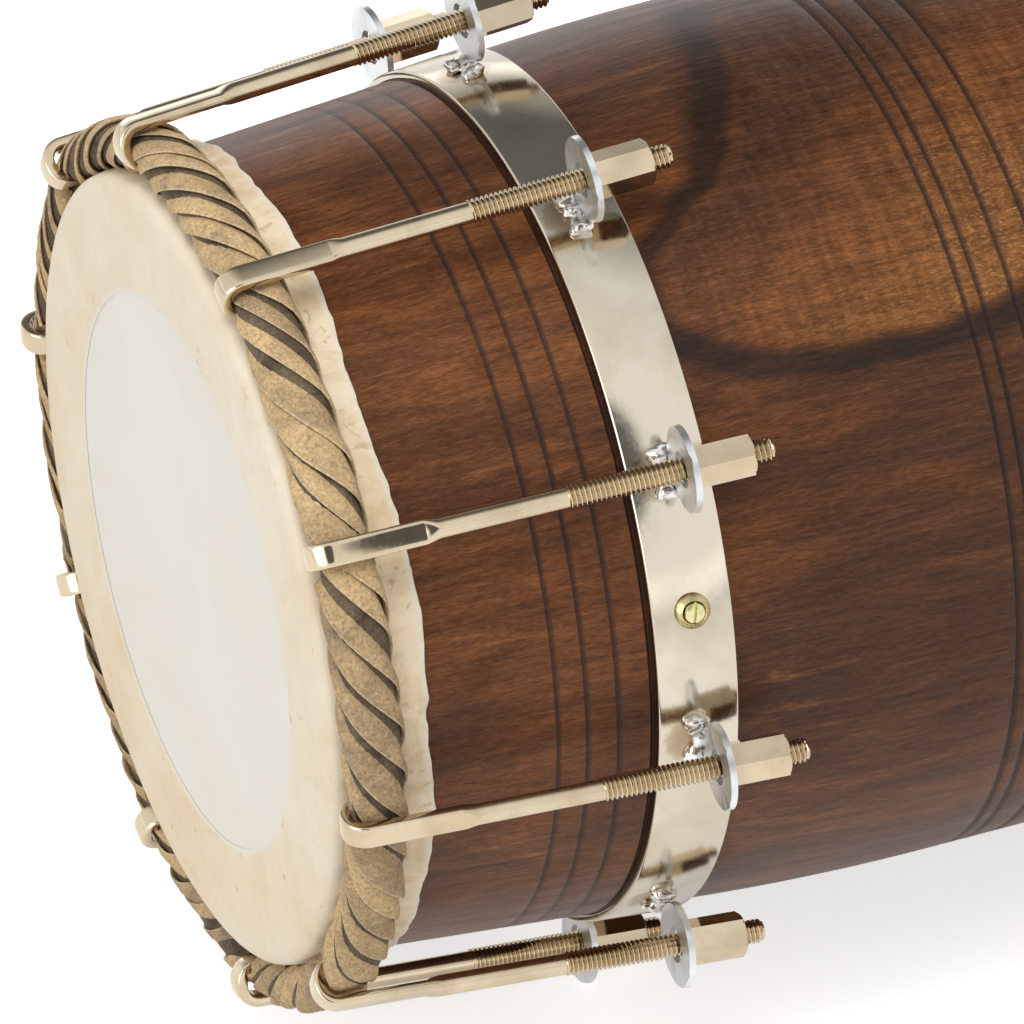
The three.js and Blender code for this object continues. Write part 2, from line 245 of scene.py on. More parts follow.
wood = {
    "dark": (0.06, 0.0235, 0.0112),
    "middle": (0.088, 0.0318, 0.0124),
    "warm": (0.138, 0.0475, 0.0145),
    "gold": (0.205, 0.081, 0.022),
    "flash": (0.52, 0.27, 0.095),
    "vein": (0.013, 0.0075, 0.005),
    "ember": (0.215, 0.073, 0.018),
    # the groove tone is painted shade, laid in the grooves and in the seam before the band
    "groove": (0.022, 0.012, 0.0105),
    # the pale figure: its middle in metres from the hook fronts and round from the top,
    # and its reach in tenths of a metre by the turn about that middle
    "figureMiddle": (0.1662, 0.0577),
    "figureReach": [
        (0.0, 1.0), (0.018, 1.0), (0.03, 0.8), (0.043, 0.6), (0.06, 0.51), (0.109, 0.454),
        (0.176, 0.362), (0.27, 0.324), (0.356, 0.38), (0.404, 0.469), (0.435, 0.527),
        (0.459, 0.57), (0.479, 0.568), (0.504, 0.542), (0.528, 0.466), (0.58, 0.355),
        (0.641, 0.355), (0.69, 0.434), (0.72, 0.574), (0.733, 0.72), (0.76, 1.0), (1.0, 1.0),
    ],
    "figureShown": [(0.016, 0.0), (0.055, 1.0), (0.725, 1.0), (0.77, 0.0)],
    "veinThinness": [(0.56, 1.0), (0.66, 0.5), (0.76, 0.4), (0.8, 1.0)],
    "veinDepth": 0.84,
    "grooveShadeStrength": 0.8,
    "fleckTilts": (0.42, -0.38),
}


def figureField(mat):
    # how far a point lies out from the figure's middle, 1 on its outline
    point = pointParts(mat)
    around = timesOf(mat, aroundAxis(mat, point), drum["belly"] / 1000)
    around = lessOf(mat, around, wood["figureMiddle"][1])
    along = lessOf(mat, point[0], bassFront + wood["figureMiddle"][0])
    wander = noiseOf(mat, (14, 26, 26), 5, 0.6, 0.4)
    sway = timesOf(mat, lessOf(mat, wander, 0.5), 0.009)
    along, around = sumOf(mat, along, sway), sumOf(mat, around, sway)
    turn = mathOf(mat, "DIVIDE", mathOf(mat, "ARCTAN2", along, around), 2 * pi)
    turn = mathOf(mat, "FRACT", lessOf(mat, 0.25, turn))
    reach = rampOf(mat, turn, wood["figureReach"])
    distance = timesOf(mat, planeDistance(mat, along, around), 10.0)
    return mathOf(mat, "DIVIDE", distance, reach), turn, along, around


def makeWood():
    mat, shader = newFinish("sheeshamWood")
    # broad patches, long streaks and short fibres, all drawn out along the grain
    patches = noiseOf(mat, (6, 15, 15), 4, 0.5, 0.8)
    streaks = noiseOf(mat, (9, 170, 170), 6, 0.66, 0.8)
    threads = noiseOf(mat, (70, 800, 800), 4, 0.65, 0.5)
    fibres = noiseOf(mat, (420, 2600, 2600), 2, 0.5)
    ripple = noiseOf(mat, (420, 55, 55), 3, 0.5, 0.5)
    field, turn, along, around = figureField(mat)

    base = rampOf(mat, patches, [
        (0.3, wood["dark"]), (0.45, wood["middle"]), (0.56, wood["warm"]), (0.64, wood["middle"]),
    ])
    glowing = noiseOf(mat, 1.0, 4, 0.6, 0.6, objectPoint(mat, (11, 60, 60), shift=(3, 1, 2)))
    base = paintOver(mat, base, [
        (rampOf(mat, glowing, [(0.52, 0.0), (0.68, 0.42)]), wood["ember"]),
        (rampOf(mat, streaks, [(0.6, 0.0), (0.72, 0.55)]), wood["gold"]),
    ])
    towards = sumOf(mat, timesOf(mat, along, 6.0), timesOf(mat, around, 10.0))
    glow = sumOf(mat, timesOf(mat, patches, 0.8), towards)
    heart = rampOf(mat, glow, [(0.05, wood["dark"]), (0.38, wood["warm"]), (1.0, wood["gold"])])
    inside = rampOf(mat, timesOf(mat, field, 0.5), [(0.46, 1.0), (0.51, 0.0)])
    thinness = rampOf(mat, turn, wood["veinThinness"])
    beyond = timesOf(mat, lessOf(mat, field, 1.0), thinness)
    rim = [(0.45, 0.0), (0.56, 1.0), (0.66, 1.0), (0.8, 0.0)]
    vein = rampOf(mat, sumOf(mat, beyond, 0.5), rim)
    shown = rampOf(mat, turn, wood["figureShown"])
    vein = timesOf(mat, timesOf(mat, vein, shown), wood["veinDepth"])
    colour = paintOver(mat, base, [(inside, heart), (vein, wood["vein"])])
    for pattern, tones, share in (
        (streaks, [(0.3, 0.62), (0.5, 1.0), (0.72, 1.35)], 0.7),
        (threads, [(0.32, 0.55), (0.5, 1.0), (0.68, 1.5)], 0.75),
        (fibres, [(0.34, 0.55), (0.5, 1.0), (0.66, 1.5)], 0.6),
    ):
        colour = mixOf(mat, share, colour, rampOf(mat, pattern, tones), "MULTIPLY")
    # across the pale wood the grain shimmers in ripples and bright flecks
    shimmer = rampOf(mat, ripple, [(0.36, 0.66), (0.5, 1.0), (0.64, 1.45)])
    colour = mixOf(mat, timesOf(mat, inside, 0.5), colour, shimmer, "MULTIPLY")
    brightness = timesOf(mat, inside, rampOf(mat, glow, [(0.3, 0.08), (0.8, 0.45)]))
    stretch = [(0.12, 0.0), (0.19, 0.7), (0.42, 0.7), (0.48, 0.0)]
    brighter = rampOf(mat, timesOf(mat, along, 10.0), stretch)
    brightness = timesOf(mat, brightness, sumOf(mat, brighter, 0.8))
    for tilt in wood["fleckTilts"]:
        flecks = noiseOf(mat, 1.0, 3, 0.6, point=tiltedPoint(mat, (300, 1500, 1500), (0, tilt, 0)))
        flecks = timesOf(mat, rampOf(mat, flecks, [(0.56, 0.0), (0.69, 0.85)]), brightness)
        colour = mixOf(mat, flecks, colour, wood["flash"])
    # painted shade in the grooves, darker the deeper they are
    cut = timesOf(mat, pieceValue(mat, "grooveShadeShare"), wood["grooveShadeStrength"])
    relief = bumpOf(mat, streaks, 0.00012, 0.5)
    setInputs(mat, shader, {
        "Base Color": mixOf(mat, cut, colour, wood["groove"]),
        "Roughness": rampOf(mat, streaks, [(0.3, 0.44), (0.7, 0.34)]),
        "Normal": bumpOf(mat, threads, 0.0001, 0.8, relief),
        "Specular IOR Level": 0.2,
    })
    return mat


def makeMetal(name, tone, stain, rough, patchScale, dent, scratch=0.25):
    mat, shader = newFinish(name)
    patches = noiseOf(mat, patchScale, 5, 0.55, 0.4)
    fine = noiseOf(mat, 900, 3, 0.6)
    soft = bumpOf(mat, patches, dent, 0.6)
    setInputs(mat, shader, {
        "Base Color": rampOf(mat, patches, [(0.35, stain), (0.55, tone)]),
        "Roughness": rampOf(mat, fine, [(0.3, rough[0]), (0.75, rough[1])]),
        "Normal": bumpOf(mat, fine, 0.00001, scratch, soft),
        "Metallic": 1.0,
    })
    return mat


def makeBand():
    plate, stain = (0.65, 0.585, 0.475), (0.53, 0.465, 0.355)
    mat = makeMetal("bandChrome", plate, stain, (0.1, 0.2), 26, 0.0002, 0.1)
    shader = mat.node_tree.nodes["Principled BSDF"]
    # the lug welds have burnt a tan halo into the plating
    plating = shader.inputs["Base Color"].links[0].from_socket
    point = pointParts(mat)
    half = drum["length"] / 2000
    along = mathOf(mat, "ABSOLUTE", lessOf(mat, point[0], bassFront + half))
    along = lessOf(mat, along, half - drum["bandCentre"] / 1000 + 0.0025)
    pitch = 2 * pi / drum["boltCount"]
    share = mathOf(mat, "FRACT", mathOf(mat, "DIVIDE", aroundAxis(mat, point), pitch))
    aside = timesOf(mat, lessOf(mat, share, 0.5), pitch * drum["bandSeat"] / 1000)
    blots = noiseOf(mat, 260, 4, 0.6, 0.5)
    reach = timesOf(mat, planeDistance(mat, along, aside), 100.0)
    reach = sumOf(mat, reach, timesOf(mat, blots, 0.5))
    scorch = rampOf(mat, reach, [(0.55, 0.85), (0.85, 0.55), (1.0, 0.0)])
    brushed = noiseOf(mat, (2600, 30, 30), 2, 0.5)
    under = shader.inputs["Normal"].links[0].from_socket
    setInputs(mat, shader, {
        "Base Color": mixOf(mat, scorch, plating, (0.3, 0.205, 0.115)),
        "Normal": bumpOf(mat, brushed, 0.000004, 0.35, under),
    })
    return mat


skin = {
    "face": (0.8, 0.695, 0.52),
    "pale": (0.84, 0.765, 0.625),
    "edge": (0.73, 0.555, 0.335),
    "stain": (0.42, 0.28, 0.13),
    "hanging": (0.94, 0.8, 0.565),
    "worn": (0.5, 0.335, 0.165),
    # the paler tone that the skirt's very edge takes is a painted highlight
    "rim": (0.86, 0.8, 0.69),
    "white": (0.79, 0.75, 0.675),
    "whiteWarm": (0.755, 0.7, 0.61),
}


def makeCoverSkin():
    mat, shader = newFinish("coverSkin")
    clouds = noiseOf(mat, 15, 5, 0.55, 0.5)
    drawn = noiseOf(mat, 55, 6, 0.62, 1.2)
    spots = noiseOf(mat, 210, 2, 0.4)
    pores = noiseOf(mat, 1400, 2, 0.5)
    creases = noiseOf(mat, (45, 70, 70), 5, 0.62, 1.4)
    # the skin's tone turns to its tan edge tone towards the back and the bottom
    point = pointParts(mat)
    slant = sumOf(mat, timesOf(mat, point[2], -0.55), timesOf(mat, point[1], 0.75))
    shade = lessOf(mat, clouds, slant)
    tone = rampOf(mat, shade, [(0.36, skin["edge"]), (0.54, skin["face"]), (0.72, skin["pale"])])
    fromAxis = timesOf(mat, axisDistance(mat), 10)
    hang = pieceValue(mat, "skirtShare")
    share = rampOf(mat, hang, [(0.0, 0.15), (0.3, 0.8)])
    # painted shade in the skirt's creases, a darker tan along the folds
    creaseShade = timesOf(mat, rampOf(mat, creases, [(0.38, 1.0), (0.58, 0.0)]), share)
    worn = noiseOf(mat, 130, 4, 0.6, 2.0)
    marks = timesOf(mat, rampOf(mat, worn, [(0.62, 0.0), (0.7, 0.75)]), share)
    dots = timesOf(mat, rampOf(mat, spots, [(0.69, 0.0), (0.76, 0.6)]),
                   rampOf(mat, clouds, [(0.42, 1.0), (0.55, 0.0)]))
    tone = paintOver(mat, tone, [
        (0.22, rampOf(mat, drawn, [(0.3, skin["edge"]), (0.6, skin["pale"])])),
        (rampOf(mat, hang, [(0.0, 0.0), (0.3, 0.75)]), skin["hanging"]),
        (creaseShade, skin["edge"]),
        (marks, skin["worn"]),
        # painted highlight: the skirt's very edge turns paler
        (rampOf(mat, hang, [(0.9, 0.0), (1.0, 0.6)]), skin["rim"]),
        # the skin is scraped thin and white where it ends on the membrane
        (rampOf(mat, fromAxis, [(0.742, 0.8), (0.756, 0.0)]), skin["white"]),
        (dots, skin["stain"]),
    ])
    soft = bumpOf(mat, drawn, 0.0003, 0.5)
    setInputs(mat, shader, {
        "Base Color": tone,
        "Roughness": 0.62,
        "Normal": bumpOf(mat, pores, 0.00006, 0.5, soft),
        "Subsurface Weight": 0.08,
        "Subsurface Radius": (0.004, 0.0025, 0.0012),
    })
    return mat


def makeMembrane():
    mat, shader = newFinish("membraneSkin")
    clouds = noiseOf(mat, 18, 5, 0.6, 0.5)
    pores = noiseOf(mat, 1200, 2, 0.5)
    setInputs(mat, shader, {
        "Base Color": rampOf(mat, clouds, [(0.32, skin["whiteWarm"]), (0.6, skin["white"])]),
        "Roughness": 0.5,
        "Normal": bumpOf(mat, pores, 0.00004, 0.4),
    })
    return mat


leather = {
    "pale": (0.61, 0.43, 0.225),
    "tan": (0.46, 0.322, 0.175),
    "grey": (0.285, 0.212, 0.136),
    # the pale tone of the painted highlights on strap edges and hairs
    "rim": (0.66, 0.53, 0.36),
    # the core shows in the gaps between straps: its dark brown is leather darkened with painted
    # shade, its pits painted deep shade
    "core": (0.165, 0.122, 0.078),
    "pitShade": (0.07, 0.05, 0.033),
}


def makeLeather(name, forCore=False):
    mat, shader = newFinish(name)
    nap = noiseOf(mat, 1050, 5, 0.75, 0.6)
    patches = noiseOf(mat, 95, 4, 0.6, 0.5)
    hairs = noiseOf(mat, 1.0, 3, 0.6, point=tiltedPoint(mat, (300, 1500, 1500), (0.5, 0.4, 0.9)))
    if forCore:
        # the core's tones are painted shade in the gaps between straps
        tone = rampOf(mat, patches, [(0.35, leather["pitShade"]), (0.62, leather["core"])])
    else:
        strapEdge = pieceValue(mat, "strapEdge")
        strapTone = pieceValue(mat, "strapTone")
        shifted = sumOf(mat, timesOf(mat, patches, 0.8), timesOf(mat, strapTone, 0.3))
        tone = rampOf(mat, shifted, [
            (0.3, leather["grey"]), (0.5, leather["tan"]), (0.68, leather["pale"]),
        ])
        # painted highlight along the straps' edges
        edgeHighlightShare = rampOf(mat, strapEdge, [(0.86, 0.0), (0.97, 0.75)])
        tone = mixOf(mat, edgeHighlightShare, tone, leather["rim"])
    speckle = rampOf(mat, nap, [(0.36, 0.62), (0.5, 1.0), (0.66, 1.36)])
    tone = mixOf(mat, 1.0, tone, speckle, "MULTIPLY")
    # painted glints on the tilted hairs
    lit = rampOf(mat, hairs, [(0.6, 0.0), (0.72, 0.15 if forCore else 0.5)])
    soft = bumpOf(mat, patches, 0.0008, 0.5)
    setInputs(mat, shader, {
        "Base Color": mixOf(mat, lit, tone, leather["rim"]),
        "Roughness": 0.78,
        "Normal": bumpOf(mat, nap, 0.00025, 0.8, soft),
        "Specular IOR Level": 0.2,
    })
    return mat


paste = {
    "dark": (0.006, 0.005, 0.004),
    "dull": (0.02, 0.016, 0.013),
}


def makePaste():
    mat, shader = newFinish("tuningPaste")
    lumps = noiseOf(mat, 120, 5, 0.6)
    setInputs(mat, shader, {
        "Base Color": rampOf(mat, lumps, [(0.3, paste["dark"]), (0.7, paste["dull"])]),
        "Roughness": 0.85,
        "Normal": bumpOf(mat, lumps, 0.0008),
    })
    return mat


finishes = {
    "wood": makeWood(),
    "band": makeBand(),
    "nickel": makeMetal(
        "nickelPlate", (0.62, 0.515, 0.365), (0.52, 0.42, 0.285), (0.08, 0.16), 70, 0.00004),
    "lug": makeMetal("lugZinc", (0.77, 0.78, 0.79), (0.62, 0.63, 0.64), (0.3, 0.44), 90, 0.00005),
    "weld": makeMetal(
        "weldBead", (0.74, 0.73, 0.71), (0.3, 0.235, 0.165), (0.12, 0.3), 260, 0.0004),
    "wire": makeMetal("hoopSteel", (0.45, 0.44, 0.43), (0.25, 0.22, 0.19), (0.3, 0.5), 150, 0.0001),
    "brass": makeMetal(
        "yellowZinc", (0.76, 0.7, 0.4), (0.6, 0.58, 0.3), (0.2, 0.36), 420, 0.0001),
    "cup": makeMetal("cupZinc", (0.56, 0.45, 0.24), (0.33, 0.33, 0.16), (0.2, 0.36), 500, 0.0001),
    "cover": makeCoverSkin(),
    "membrane": makeMembrane(),
    "strap": makeLeather("gajraStrap"),
    "core": makeLeather("gajraCore", True),
    "paste": makePaste(),
}
print("finishes made:", len(finishes))


# Shaping
def ringAround(outline, steps):
    shape = bmesh.new()
    corners = [shape.verts.new((x, 0, r)) for x, r in outline]
    edges = [shape.edges.new(pair) for pair in zip(corners, corners[1:] + corners[:1])]
    bmesh.ops.spin(shape, geom=corners + edges, cent=(0, 0, 0), axis=(1, 0, 0),
                   angle=2 * pi, steps=steps, use_merge=True)
    return shape


def mergePoints(shape):
    bmesh.ops.remove_doubles(shape, verts=shape.verts, dist=0.0008)


def cutAt(shape, point, normal, **choices):
    everything = shape.verts[:] + shape.edges[:] + shape.faces[:]
    bmesh.ops.bisect_plane(shape, geom=everything, plane_co=point, plane_no=normal, **choices)


def meshOf(name, shape):
    mesh = bpy.data.meshes.new(name)
    shape.to_mesh(mesh)
    shape.free()
    return mesh


def pourInto(shape, part):
    mesh = meshOf("part", part)
    shape.from_mesh(mesh)
    bpy.data.meshes.remove(mesh)


def cleanMesh(name, shape, place, crease):
    mergePoints(shape)
    bmesh.ops.dissolve_degenerate(shape, dist=0.0004, edges=shape.edges)
    bmesh.ops.recalc_face_normals(shape, faces=shape.faces)
    bmesh.ops.transform(shape, matrix=place, verts=shape.verts)
    mesh = meshOf(name, shape)
    mesh.shade_smooth()
    mesh.set_sharp_from_angle(angle=radians(crease))
    return mesh


def addPiece(name, mesh, body, finish, nodes=()):
    mesh.materials.append(finishes[finish])
    piece = newObject(name, mesh)
    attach(piece, body)
    if nodes:
        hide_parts(*nodes)


def addShape(name, shape, place, crease, finish, nodes=()):
    addPiece(name, cleanMesh(name, shape, place, crease), "drum", finish, nodes)


def smoothStep(value, low, high):
    share = min(max((value - low) / (high - low), 0), 1)
    return share * share * (3 - 2 * share)


def polar(point):
    return hypot(point.y, point.z), atan2(-point.y, point.z)


def setPolar(vertex, radius, angle):
    vertex.co.y = -radius * sin(angle)
    vertex.co.z = radius * cos(angle)


def ringNoise(angle, frequency, seed):
    return noise.noise(Vector((cos(angle) * frequency, sin(angle) * frequency, seed)))


# Wooden shell
barrel = {
    "steps": 192,
    "spacing": 5.0,
    "rimWall": 12.5,
    "bellyWall": 17.0,
    "hollow": (170, 260),  # where the bore is at its widest
    "rebateLength": 19.0,
    "grooveReach": 2,  # kept clear of other rings on both sides of a groove
    "frontGrooves": [61.6, 69.3, 77.5],
    "middleGrooves": [184.9, 189.6, 198.2, 207.7],
    "fineGroove": [(-1.0, 0.0), (-0.75, 0.08), (-0.45, 0.34), (0.1, 0.24), (0.7, 0.1), (1.0, 0.0)],
    "wideGroove": [(-1.2, 0.0), (-0.85, 0.12), (-0.3, 0.6), (0.2, 0.6), (0.8, 0.12), (1.1, 0.0)],
    # the seam groove before the band's edge carries painted shade as a dark line
    "seam": 86.3,
    "seamGroove": [(-0.85, 0.0), (-0.45, 0.35), (0.1, 0.9), (0.75, 0.9), (1.0, 0.0)],
    "fullShadeDepth": 0.25,  # the depth from which a groove has its full painted shade
    "deepest": 2,  # deeper points are the bore
}


def taperSlope(end):
    rise = drum["bandSeat"] - end["seat"] - drum["rimStep"]
    return rise / (drum["bandCentre"] - drum["rimPlane"])


def taperRadius(end, x):
    return drum["bandSeat"] + taperSlope(end) * (x - drum["bandCentre"])


def woodRadius(end, x):
    start = drum["bellyStart"]
    knee = drum["bandCentre"] + (drum["belly"] - drum["bandSeat"]) / taperSlope(end)
    share = (x - start) / (2 * (knee - start))
    if share <= 0:
        return taperRadius(end, x)
    if share >= 1:
        return drum["belly"]
    return (1 - share) ** 2 * taperRadius(end, start) + (2 - share) * share * drum["belly"]


def barrelSide(end):
    rimPlane, bevel = drum["rimPlane"], drum["rimBevel"]
    rebateEnd = rimPlane + barrel["rebateLength"]
    half = drum["length"] / 2
    grooves = [(x, barrel["fineGroove"]) for x in barrel["frontGrooves"]]
    grooves.append((barrel["seam"], barrel["seamGroove"]))
    if end is ends["bass"]:
        grooves += [(x, barrel["wideGroove"]) for x in barrel["middleGrooves"]]
    count = int((half - rebateEnd) / barrel["spacing"]) + 1
    stops = [rebateEnd + i * barrel["spacing"] for i in range(count)]
    stops = [x for x in stops if all(abs(x - g) > barrel["grooveReach"] for g, _ in grooves)]
    side = [(x, woodRadius(end, x)) for x in stops]
    side += [(g + dx, woodRadius(end, g + dx) - depth) for g, cut in grooves for dx, depth in cut]
    rim = [(rimPlane, end["seat"] - bevel), (rimPlane + bevel, end["seat"])]
    return rim + sorted(side)


def buildShell():
    bassSide = barrelSide(ends["bass"])
    trebleSide = [(drum["length"] - x, r) for x, r in reversed(barrelSide(ends["treble"]))]
    bore = drum["belly"] - barrel["bellyWall"]
    inside = [
        (trebleSide[-1][0], ends["treble"]["seat"] - barrel["rimWall"]),
        (barrel["hollow"][1], bore), (barrel["hollow"][0], bore),
        (bassSide[0][0], ends["bass"]["seat"] - barrel["rimWall"]),
    ]
    shape = ringAround(bassSide + trebleSide + inside, barrel["steps"])
    # each point's depth in a groove sets how much painted shade it gets
    layer = shape.verts.layers.float.new("grooveShadeShare")
    for vertex in shape.verts:
        x, radius = vertex.co.x, polar(vertex.co)[0]
        side, fromHooks = ("bass", x) if x < drum["length"] / 2 else ("treble", drum["length"] - x)
        depth = woodRadius(ends[side], fromHooks) - radius
        if depth < barrel["deepest"]:
            vertex[layer] = min(max(depth, 0) / barrel["fullShadeDepth"], 1)
    addShape("barrel", shape, bassPlace, 40, "wood", ["shell"])


buildShell()
print("shell turned")


# Skins
skins = {
    "membraneSteps": 128,
    "membraneFront": 1.0,  # ahead of the rim
    "membraneRear": 0.3,
    "steps": 540,
    "opening": 73.7,
    "skirtStart": 17,
    "skirtEnd": 28.1,
    # waves of the skirt's edge: how far along the drum, how many, and which noise
    "strays": [(2.34, 2.6, 0), (0.72, 17, 3), (0.225, 55, 5)],
    "drawnBack": 0.5,
    "flare": 0.9,  # how far the edge lifts off the wood
    "pleat": 0.5,
}


def buildMembrane(endName, end):
    front = drum["rimPlane"] - skins["membraneFront"]
    rear = drum["rimPlane"] - skins["membraneRear"]
    edge = end["seat"] - drum["rimBevel"]
    outline = [(front, r) for r in (0, 30, 60, 76, edge)] + [(rear, r) for r in (edge, 60, 0)]
    shape = ringAround(outline, skins["membraneSteps"])
    addShape(endName + "Membrane", shape, end["place"], 40, "membrane",
             [endName + "_membrane"])


def coverOutline(end):
    seat, opening = end["seat"], skins["opening"]
    rebateEnd = drum["rimPlane"] + barrel["rebateLength"]
    face = [
        (3.0, opening), (2.9, opening + 0.8), (2.65, opening + 4), (2.25, 83), (2.0, 91),
        (2.0, seat - 4), (2.1, seat - 2), (2.45, seat - 0.4),
        (3.1, seat + 0.9), (4.0, seat + 1.75), (5.2, seat + 2.1),
    ]
    # along the wood and back under the skirt, as heights above the taper
    skirt = [
        (12, 1.6), (18, 1.95), (rebateEnd, 2.1), (25, 2.1), (26.5, 2.1), (27.7, 2.05),
        (skins["skirtEnd"], 1.75), (27.8, 1.35), (25, 1.2), (rebateEnd, 1.2), (12, 0.9),
    ]
    lining = [
        (5.6, seat + 1.3), (2.8, seat - 1.1), (2.8, 95), (3.08, opening + 6), (3.08, opening + 0.3),
    ]
    return face + [(x, taperRadius(end, x) + rise) for x, rise in skirt] + lining


def buildCover(endName, end):
    shape = ringAround(coverOutline(end), skins["steps"])
    layer = shape.verts.layers.float.new("skirtShare")
    seed = end["seed"]
    for vertex in shape.verts:
        radius, angle = polar(vertex.co)
        hang = smoothStep(vertex.co.x, skins["skirtStart"], skins["skirtEnd"])
        vertex[layer] = hang
        if hang > 0:
            stray = sum(far * ringNoise(angle, fine, seed + which)
                        for far, fine, which in skins["strays"])
            lift = skins["flare"] * (0.35 + ringNoise(angle, 3.4, seed + 7) * 1.4)
            crossed = angle + 0.012 * (vertex.co.x - 20)
            lift += skins["pleat"] * (abs(ringNoise(crossed, 9, seed + 9)) * 3 - 0.6)
            vertex.co.x += hang * (stray - skins["drawnBack"])
            setPolar(vertex, radius + hang * max(lift, -0.6), angle)
    addShape(endName + "CoverSkin", shape, end["place"], 50, "cover",
             [endName + "_cover_skin"])


for endName, end in ends.items():
    buildMembrane(endName, end)
    buildCover(endName, end)
print("skins laid")


# Gajra of leather straps wound round the hoop
gajra = {
    "strapCount": 60,
    "centre": 11.1,  # of the ring's section, from the hook fronts
    "halfLength": 7.2,
    "halfThickness": 6.1,
    "fullness": 2.6,  # 2 is an ellipse
    "coreInset": 0.3,
    "strapHalfWidth": 4.3,
    "strapThickness": 1.1,
    "strapWaist": 0.34,  # the share of its width that a strap loses where it is drawn tight
    "start": -62.0,  # degrees round the section, from its front
    "stop": 236.0,
    "advance": 16.0,  # degrees along the ring while a strap crosses from front to rear
    "lean": 56.0,
    "shingle": 0.75,
    "crown": 0.45,
    "skinRise": 2.4,  # from the skin's seat to the ring's underside
    "middleRise": 6.45,
    "coreSides": 24,
    "coreSteps": 240,
    # how far one strap strays from the next
    "placeStray": 0.22,
    "leanStray": 8.0,
    "widths": (0.6, 1.08),
    "lifts": (-0.3, 0.4),
    # the room for the hooks
    "hookRise": 17.2,  # from the skin's seat to the rods' middles
    "hookRoom": 2.0,
    "hookFace": 3.6,
    "hookHalfWidth": 3.9,
    "hookBlend": 3,
    "slotDepth": 12.2,
    "slotRoof": 112.0,
}


def gajraMiddle(end):
    return end["seat"] + gajra["skinRise"] + gajra["middleRise"]


def hookRadius(end):
    return end["seat"] + gajra["hookRise"]


def sectionPoint(end, around, lift):
    power = gajra["fullness"]
    along, outward = -cos(around), sin(around)
    reach = (abs(along) ** power + abs(outward) ** power) ** (-1 / power)
    x = gajra["centre"] + along * (gajra["halfLength"] * reach + lift)
    r = gajraMiddle(end) + outward * (gajra["halfThickness"] * reach + lift)
    return x, r


def besideHook(angle, radius):
    pitch = 2 * pi / drum["boltCount"]
    return radius * (angle % pitch - pitch / 2)


def clearHook(end, x, radius, aside):
    halfWidth = gajra["hookHalfWidth"]
    near = 1 - smoothStep(abs(aside), halfWidth, halfWidth + gajra["hookBlend"])
    if near <= 0:
        return x, radius
    roof = gajra["slotRoof"] + end["seat"] - ends["bass"]["seat"]
    push = min(gajra["slotDepth"] - x, roof - radius)
    if push > 0:
        x, radius = x + push * near, radius + push * near
    ceiling = hookRadius(end) - gajra["hookRoom"]
    if radius > ceiling:
        radius -= (radius - ceiling) * near
    if x < gajra["hookFace"]:
        x += (gajra["hookFace"] - x) * near
    return x, radius


def addStrap(shape, layers, end, number, dice):
    count = len(shape.verts)
    grid = bmesh.ops.create_grid(shape, x_segments=22, y_segments=7, size=1)
    faces = {face for vertex in grid["verts"] for face in vertex.link_faces}
    bmesh.ops.solidify(shape, geom=list(faces), thickness=1)
    shape.verts.ensure_lookup_table()
    stray, leanStray = gajra["placeStray"], gajra["leanStray"]
    base = 2 * pi * (number + dice.uniform(-stray, stray)) / gajra["strapCount"]
    halfWidth = gajra["strapHalfWidth"] * dice.uniform(*gajra["widths"])
    lean = radians(gajra["lean"] + dice.uniform(-leanStray, leanStray))
    raised = dice.uniform(*gajra["lifts"])
    tone = dice.random()
    sectionSize = (gajra["halfLength"] + gajra["halfThickness"]) / 2
    start, stop = radians(gajra["start"]), radians(gajra["stop"])
    for vertex in shape.verts[count:]:
        along, across, top = (vertex.co.x + 1) / 2, vertex.co.y, vertex.co.z + 0.5
        around = start + (stop - start) * along
        leaf = 1 - gajra["strapWaist"] * abs(cos(around * 0.92 + 0.1)) ** 1.5
        side = across * halfWidth * leaf
        wobble = noise.noise(Vector((along * 3, across * 1.2, number * 2.7 + end["seed"])))
        aroundHere = around - side * sin(lean) / sectionSize
        angle = base + radians(gajra["advance"]) * (around / pi - 0.5)
        angle += side * cos(lean) / gajraMiddle(end)
        thin = sqrt(max(1 - abs(across) ** 5, 0.05))
        lift = gajra["shingle"] * across + gajra["crown"] * (1 - across * across)
        lift += raised + 0.45 * wobble + (top - 0.5) * gajra["strapThickness"] * thin
        x, radius = sectionPoint(end, aroundHere, lift)
        x, radius = clearHook(end, x, radius, besideHook(angle, radius))
        vertex.co.x = x
        setPolar(vertex, radius, angle)
        vertex[layers[0]] = tone
        vertex[layers[1]] = abs(across)


def buildGajra(endName, end):
    dice = random.Random(end["seed"])
    shape = bmesh.new()
    layers = [shape.verts.layers.float.new(name) for name in ("strapTone", "strapEdge")]
    for number in range(gajra["strapCount"]):
        addStrap(shape, layers, end, number, dice)
    addShape(endName + "GajraStraps", shape, end["place"], 50, "strap",
             [endName + "_gajra"])
    sides = gajra["coreSides"]
    outline = [sectionPoint(end, 2 * pi * i / sides, -gajra["coreInset"]) for i in range(sides)]
    core = ringAround(outline, gajra["coreSteps"])
    for vertex in core.verts:
        radius, angle = polar(vertex.co)
        x, radius = clearHook(end, vertex.co.x, radius, besideHook(angle, radius))
        vertex.co.x = x
        setPolar(vertex, radius, angle)
    addShape(endName + "GajraCore", core, end["place"], 60, "core")


for endName, end in ends.items():
    buildGajra(endName, end)
print("gajras wound")


# Tuning rods, each with a flat hook at the head end and a thread at the other
rod = {
    "length": 120.7,
    "halfWidth": 3.25,
    "halfThickness": 1.6,
    "bend": 4.7,
    "drop": 10.4,
    "tip": 11.5,
    "bendSteps": 8,
    "strapEnd": 29.5,
    "shankStart": 33.6,
    "shank": 2.75,
    "sides": 24,
    "threadStart": 66.5,
    "crest": 3.175,
    "root": 2.46,
    "pitch": 1.27,
    "crestSpan": (0.4, 0.6),  # shares of the pitch
    "turnSteps": 18,
    "pointLength": 0.9,
    "pointSlope": 0.85,
}


